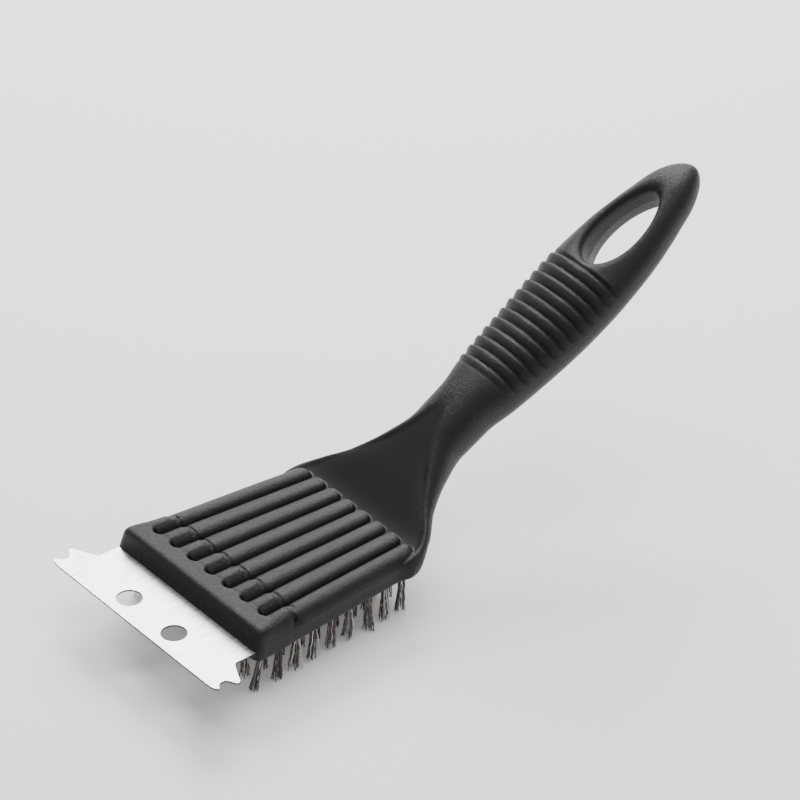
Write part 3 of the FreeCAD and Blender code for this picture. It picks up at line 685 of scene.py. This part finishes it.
def wire_tree(material):
    """Wires that start together in each hole and spread and wave down to their tips."""
    tree = Tree("Wire tufts", {
        "Wires": "NodeSocketInt", "Radius": "NodeSocketFloat", "Spread": "NodeSocketFloat",
        "Crimp": "NodeSocketFloat", "Length": "NodeSocketFloat", "Seed": "NodeSocketInt"})
    copies = tree.add("GeometryNodeDuplicateElements", {"domain": "POINT"},
                      {"Geometry": tree.input("Geometry"), "Amount": tree.input("Wires")})
    index = tree.add("GeometryNodeInputIndex").outputs[0]

    def scatter(low, high, step):
        seed = tree.maths("ADD", tree.input("Seed"), float(step))
        made = tree.add("FunctionNodeRandomValue", {"data_type": "FLOAT_VECTOR"}, {"ID": index, "Seed": seed})
        made.inputs[0].default_value = low
        made.inputs[1].default_value = high
        return made.outputs[0]

    start = tree.vector("SCALE", scatter((-1, -1, 0), (1, 1, 0), 1))
    start.node.inputs["Scale"].default_value = ROOT_SCATTER
    placed = tree.add("GeometryNodeSetPosition", None, {"Geometry": copies, "Offset": start})
    lean = scatter((-1, -1, 0), (1, 1, 0), 2)
    phase = scatter((0, 0, 0), (6.28, 6.28, 1), 3)
    kept = placed
    for label, value in (("lean", lean), ("phase", phase), ("root", tree.vector("NORMALIZE", start))):
        kept = tree.add("GeometryNodeStoreNamedAttribute", {"data_type": "FLOAT_VECTOR", "domain": "POINT"},
                        {"Geometry": kept, "Name": label, "Value": value})
    tone = tree.add("ShaderNodeSeparateXYZ", None, {0: scatter((0, 0, 0), (1, 1, 1), 4)})
    kept = tree.add("GeometryNodeStoreNamedAttribute", {"data_type": "FLOAT", "domain": "POINT"},
                    {"Geometry": kept, "Name": "wire_tone", "Value": tone.outputs[0]})
    line = tree.add("GeometryNodeCurvePrimitiveLine", {"mode": "DIRECTION"},
                    {"Direction": (0.0, 0.0, -1.0), "Length": tree.input("Length")})
    line = tree.add("GeometryNodeResampleCurve", None, {"Curve": line, "Count": WIRE_POINTS})
    placed = tree.add("GeometryNodeInstanceOnPoints", None, {"Points": kept, "Instance": line})
    real = tree.add("GeometryNodeRealizeInstances", None, {"Geometry": placed})
    along = tree.add("GeometryNodeSplineParameter").outputs[0]

    def named(label, kind="FLOAT_VECTOR"):
        return tree.add("GeometryNodeInputNamedAttribute", {"data_type": kind}, {"Name": label}).outputs[0]

    parts = tree.add("ShaderNodeSeparateXYZ", None, {0: named("phase")})
    waves = []
    for number, turns in enumerate(CRIMP_TURNS):
        angle = tree.maths("ADD", tree.maths("MULTIPLY", along, turns), parts.outputs[number])
        waves.append(tree.maths("MULTIPLY", tree.maths("SINE", angle), tree.input("Crimp")))
    wave = tree.add("ShaderNodeCombineXYZ", None, {0: waves[0], 1: waves[1], 2: 0.0}).outputs[0]
    swell = tree.maths("POWER", along, 1.5)
    outward = tree.vector("ADD", tree.vector("SCALE", named("root")), tree.vector("SCALE", named("lean")))
    outward.node.inputs[0].links[0].from_node.inputs["Scale"].default_value = OUTWARD_SHARE
    loose = outward.node.inputs[1].links[0].from_node
    stray = tree.maths("MULTIPLY", tree.maths("POWER", named("wire_tone", "FLOAT"), STRAY_POWER), STRAY_SHARE)
    tree.tree.links.new(tree.maths("ADD", stray, LOOSE_SHARE), loose.inputs["Scale"])
    spread = tree.vector("SCALE", outward)
    tree.tree.links.new(tree.maths("MULTIPLY", swell, tree.input("Spread")), spread.node.inputs["Scale"])
    tuft_lean = tree.vector("SCALE", named("tuft_lean"))
    tree.tree.links.new(swell, tuft_lean.node.inputs["Scale"])
    shorten = tree.maths("MULTIPLY", tree.maths("MULTIPLY", parts.outputs[2], along), TIP_UNEVEN)
    lift = tree.add("ShaderNodeCombineXYZ", None, {2: shorten}).outputs[0]
    offset = tree.vector("ADD", tree.vector("ADD", spread, wave), tree.vector("ADD", tuft_lean, lift))
    bent = tree.add("GeometryNodeSetPosition", None, {"Geometry": real, "Offset": offset})
    ring = tree.add("GeometryNodeCurvePrimitiveCircle", None, {"Resolution": 4, "Radius": tree.input("Radius")})
    tube = tree.add("GeometryNodeCurveToMesh", None,
                    {"Curve": bent, "Profile Curve": ring, "Fill Caps": True})
    real = tree.add("GeometryNodeRealizeInstances", None, {"Geometry": tube})
    tree.finish(tree.add("GeometryNodeSetMaterial", None, {"Geometry": real, "Material": material}))
    return tree


# -------------------------------------------------------------------------------- operators
GRID_LOW, GRID_HIGH = (-2.2, -37.5, -4.5), (200.5, 37.5, 82.0)
HANDLE_FACES_LEAST = 1000


class WIREBRUSH_OT_handle(bpy.types.Operator):
    """Build the moulded handle with its ribbed head, fan, grip and hanging hole"""
    bl_idname = "wirebrush.handle"
    bl_label = "Moulded Handle"

    def execute(self, context):
        sizes = context.scene.wirebrush_handle
        def field(points):
            return moulding_field(points, sizes.rib_step / MM, sizes.grip_rise / MM)

        points, quads = surface_of(field, np.array(GRID_LOW), np.array(GRID_HIGH), sizes.detail / MM)
        points = (points + np.array([FACE_X, 0.0, BLADE_TOP])) * MM
        material = moulded_plastic(tuple(sizes.plastic))
        rough = new_object("rough_moulding", points.tolist(), quads.tolist(), material)
        thin = rough.modifiers.new("Fewer triangles", "DECIMATE")
        thin.ratio = min(1.0, sizes.triangles / (2.0 * len(quads)))
        moulding = plain_mesh(rough, "moulded_handle")
        if len(moulding.data.polygons) < HANDLE_FACES_LEAST:
            raise RuntimeError("the moulding has no surface")
        self.finish_surface(moulding.data, field)
        settle(moulding, "moulding", "handle")
        return {"FINISHED"}

    @staticmethod
    def finish_surface(mesh, field):
        """Shade the mesh by the true slope of the moulding and mark where its mould was polished."""
        spots = np.empty(len(mesh.vertices) * 3)
        mesh.vertices.foreach_get("co", spots)
        spots = spots.reshape(-1, 3) / MM - np.array([FACE_X, 0.0, BLADE_TOP])
        slope = slope_of(field, spots, SHADE_REACH)
        slope /= np.maximum(np.linalg.norm(slope, axis=1), 1e-6)[:, None]
        mesh.shade_smooth()
        mesh.normals_split_custom_set_from_vertices(slope.tolist())
        hollow = fan_recess(spots[:, 0], np.abs(spots[:, 1]), spots[:, 2])
        inside = (1.0 - smooth_step(0.2, 1.2, np.abs(hollow))) * smooth_step(62.0, 66.0, spots[:, 0])
        mark = mesh.attributes.new("grained", "FLOAT", "POINT")
        mark.data.foreach_set("value", (1.0 - inside).astype(np.float32))


# Half of the blade's outline, from its front edge round the ear to the end of its tang
BLADE_EDGE = [(-20.15, 36.6), (-20.05, 38.6), (-19.6, 40.1), (-18.85, 40.95), (-18.3, 40.6), (-17.6, 39.5),
              (-16.9, 38.98), (-15.9, 38.78), (-14.9, 38.92), (-14.1, 39.75), (-13.35, 41.4),
              (-12.75, 42.2), (-12.2, 42.25), (-11.55, 41.75), (-10.6, 39.8), (-9.4, 37.2), (-8.2, 34.9),
              (-7.5, 34.1), (-6.7, 33.88), (-4.0, 33.88), (8.4, 33.88)]
BLADE_HOLE_X, BLADE_HOLE_Y, BLADE_HOLE_RADIUS = -12.9, 11.1, 4.0
FLAT_FACE = 0.75                                        # upward share of a normal below which a face is an edge
LOCK_SPACING, LOCK_RADIUS = 7.6, 2.5                    # holes in the tang that the moulding locks through


class WIREBRUSH_OT_blade(bpy.types.Operator):
    """Build the scraper blade with its holes and scalloped ears"""
    bl_idname = "wirebrush.blade"
    bl_label = "Scraper Blade"

    def execute(self, context):
        sizes = context.scene.wirebrush_blade
        edge = sizes.edge / MM
        flat = bpy.data.curves.new("blade_outline", "CURVE")
        flat.dimensions = "2D"
        flat.fill_mode = "BOTH"
        thick = (BLADE_BOX[1].z - BLADE_BOX[0].z) / MM
        flat.extrude = thick / 2 - edge
        flat.bevel_depth = edge
        flat.bevel_resolution = 2
        flat.offset = -edge
        loop = BLADE_EDGE + [(x, -y) for x, y in reversed(BLADE_EDGE)]
        self.spline(flat, loop)
        for side in (1, -1):
            self.spline(flat, self.ring(BLADE_HOLE_X, BLADE_HOLE_Y * side, BLADE_HOLE_RADIUS, 64))
        for column in COLUMNS:
            self.spline(flat, self.ring(TUFT_START, LOCK_SPACING * column, LOCK_RADIUS, 24))
        outline = bpy.data.objects.new("blade_outline", flat)
        context.scene.collection.objects.link(outline)
        blade = plain_mesh(outline, "blade")
        middle = BLADE_TOP - thick / 2
        blade.data.transform(Matrix.Scale(MM, 4) @ Matrix.Translation((FACE_X, 0.0, middle)))
        work = bmesh.new()
        work.from_mesh(blade.data)
        bmesh.ops.remove_doubles(work, verts=work.verts, dist=1e-7)
        bmesh.ops.recalc_face_normals(work, faces=work.faces)
        work.to_mesh(blade.data)
        work.free()
        blade.data.materials.clear()
        blade.data.materials.append(brushed_sheet(tuple(sizes.steel)))
        blade.data.materials.append(sheared_edge(tuple(sizes.steel)))
        for face in blade.data.polygons:
            face.material_index = int(abs(face.normal.z) < FLAT_FACE)
        settle(blade, "blade", "scraper_blade")
        return {"FINISHED"}

    @staticmethod
    def spline(curve, points):
        line = curve.splines.new("POLY")
        line.points.add(len(points) - 1)
        for point, (x, y) in zip(line.points, points):
            point.co = (x, y, 0.0, 1.0)
        line.use_cyclic_u = True

    @staticmethod
    def ring(x, y, radius, count):
        turns = [2 * math.pi * k / count for k in range(count)]
        return [(x + radius * math.cos(t), y + radius * math.sin(t)) for t in turns]


ROOT_DEPTH, TIP_GAP = 0.9, 0.25                         # wires start inside the hole and end above the floor
LEAN_SCATTER, ROW_LEAN, FIRST_ROW_LEAN = 0.38, 0.9, 0.2
SPLAYED_TUFT = (-2.9, 0.3)                              # the worn tuft at the front row's end
TUFT_FACES_LEAST = 500


class WIREBRUSH_OT_wires(bpy.types.Operator):
    """Fill the head with tufts of crimped wire"""
    bl_idname = "wirebrush.wires"
    bl_label = "Wire Tufts"

    def execute(self, context):
        sizes = context.scene.wirebrush_wires
        tree = wire_tree(crimped_wire(tuple(sizes.wire)))
        start = BLADE_TOP + HEAD_BOTTOM + ROOT_DEPTH
        for row, (low, high) in enumerate(ROW_BOXES):
            half = (high.y - low.y) / 2 / MM - TUFT_TIP
            places = [(ROW_X[row] * MM, half * column / OUTER_COLUMN * MM, start * MM) for column in COLUMNS]
            roots = bpy.data.meshes.new("roots")
            roots.from_pydata(places, [], [])
            rng = np.random.default_rng(sizes.seed + row)
            leans = rng.normal(0.0, LEAN_SCATTER, (TUFT_COLUMNS, 3)) * MM
            leans[:, 0] -= (FIRST_ROW_LEAN if row == 0 else ROW_LEAN) * MM
            leans[:, 2] = 0.0
            if row == 0:
                leans[0] = (SPLAYED_TUFT[0] * MM, SPLAYED_TUFT[1] * MM, 0.0)
            edge = roots.attributes.new("tuft_lean", "FLOAT_VECTOR", "POINT")
            edge.data.foreach_set("vector", leans.astype(np.float32).ravel())
            source = bpy.data.objects.new("roots_%d" % (row + 1), roots)
            context.scene.collection.objects.link(source)
            tufts = tree.apply(source, "wires_%d" % (row + 1), {
                "Wires": sizes.count, "Radius": sizes.radius, "Spread": sizes.spread, "Crimp": sizes.crimp,
                "Length": (start - TIP_GAP) * MM, "Seed": sizes.seed * 100 + row * 10})
            if len(tufts.data.polygons) < TUFT_FACES_LEAST:
                raise RuntimeError("a row of tufts came out empty")
            tufts.data.shade_smooth()
            settle(tufts, "wire", "tuft_row_%d" % (row + 1))
        return {"FINISHED"}


class WIREBRUSH_OT_anchors(bpy.types.Operator):
    """Finish the flat wire anchors that hold the tufts"""
    bl_idname = "wirebrush.anchors"
    bl_label = "Anchors"

    def execute(self, context):
        material = flat_wire(ANCHOR_STEEL)
        for number in range(1, TUFT_ROWS + 1):
            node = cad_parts["anchor_row_%d" % number]
            node.data.materials.clear()
            node.data.materials.append(material)
        return {"FINISHED"}


class WIREBRUSH_OT_stage(bpy.types.Operator):
    """Set the pale floor, the soft lights and the camera"""
    bl_idname = "wirebrush.stage"
    bl_label = "Stage"

    def execute(self, context):
        sizes = context.scene.wirebrush_stage
        corners = [(FLOOR_REACH * x, FLOOR_REACH * y, 0.0) for x, y in ((-1, -1), (1, -1), (1, 1), (-1, 1))]
        floor = new_object("floor", corners, [(0, 1, 2, 3)], pale_floor(tuple(sizes.floor)), False)
        floor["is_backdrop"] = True
        world = bpy.data.worlds.new("Soft white room")
        world.use_nodes = True
        world.node_tree.nodes["Background"].inputs["Color"].default_value = ROOM_LIGHT
        world.node_tree.nodes["Background"].inputs["Strength"].default_value = ROOM_STRENGTH
        context.scene.world = world
        self.light("key", KEY_PLACE, KEY_SIZE, sizes.key * KEY_SHARE)
        self.light("overhead", OVERHEAD_PLACE, OVERHEAD_SIZE, sizes.key * OVERHEAD_SHARE)
        camera = bpy.data.cameras.new("camera")
        camera.lens = sizes.lens
        camera.sensor_width = SENSOR_WIDTH
        camera.clip_end = VIEW_END
        seat = bpy.data.objects.new("camera", camera)
        context.scene.collection.objects.link(seat)
        turn = Matrix((CAMERA_RIGHT, CAMERA_UP, CAMERA_BACK)).transposed().to_4x4()
        place = Vector((CAMERA_X + FACE_X * MM, CAMERA_Y, CAMERA_Z + BLADE_TOP * MM))
        seat.matrix_world = Matrix.Translation(place) @ turn
        context.scene.camera = seat
        return {"FINISHED"}

    @staticmethod
    def light(name, place, size, power):
        lamp = bpy.data.lights.new(name, "AREA")
        lamp.shape = "SQUARE"
        lamp.size = size
        lamp.energy = power
        seat = bpy.data.objects.new(name, lamp)
        bpy.context.scene.collection.objects.link(seat)
        aim = Vector(LIGHT_AIM) - Vector(place)
        seat.matrix_world = Matrix.Translation(place) @ aim.to_track_quat("-Z", "Y").to_matrix().to_4x4()


class WIREBRUSH_PT_panel(bpy.types.Panel):
    """Lists the brush's pieces"""
    bl_idname = "WIREBRUSH_PT_panel"
    bl_label = "Wire Brush"
    bl_space_type = "VIEW_3D"
    bl_region_type = "UI"
    bl_category = "Wire Brush"

    def draw(self, context):
        for operator, group in PANEL_ROWS:
            box = self.layout.box()
            box.operator(operator.bl_idname)
            if group:
                settings = getattr(context.scene, group)
                for name in settings.__annotations__:
                    box.prop(settings, name)


PANEL_ROWS = [
    (WIREBRUSH_OT_handle, "wirebrush_handle"),
    (WIREBRUSH_OT_blade, "wirebrush_blade"),
    (WIREBRUSH_OT_wires, "wirebrush_wires"),
    (WIREBRUSH_OT_anchors, None),
    (WIREBRUSH_OT_stage, "wirebrush_stage"),
]
GROUPS = {
    "wirebrush_handle": WIREBRUSH_PG_handle,
    "wirebrush_blade": WIREBRUSH_PG_blade,
    "wirebrush_wires": WIREBRUSH_PG_wires,
    "wirebrush_stage": WIREBRUSH_PG_stage,
}


def register():
    for group in GROUPS.values():
        bpy.utils.register_class(group)
    for operator, _ in PANEL_ROWS:
        bpy.utils.register_class(operator)
    bpy.utils.register_class(WIREBRUSH_PT_panel)
    for name, group in GROUPS.items():
        setattr(bpy.types.Scene, name, bpy.props.PointerProperty(type=group))


def unregister():
    for name in GROUPS:
        delattr(bpy.types.Scene, name)
    bpy.utils.unregister_class(WIREBRUSH_PT_panel)
    for operator, _ in reversed(PANEL_ROWS):
        bpy.utils.unregister_class(operator)
    for group in reversed(list(GROUPS.values())):
        bpy.utils.unregister_class(group)


def main():
    register()
    bpy.ops.wirebrush.handle()
    bpy.ops.wirebrush.blade()
    bpy.ops.wirebrush.wires()
    bpy.ops.wirebrush.anchors()
    bpy.ops.wirebrush.stage()
    boxes = {"cad": CAD_BOX, "visual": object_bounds()}
    {name: [list(map(float, corner)) for corner in box] for name, box in boxes.items()}


if __name__ == "__main__":
    main()
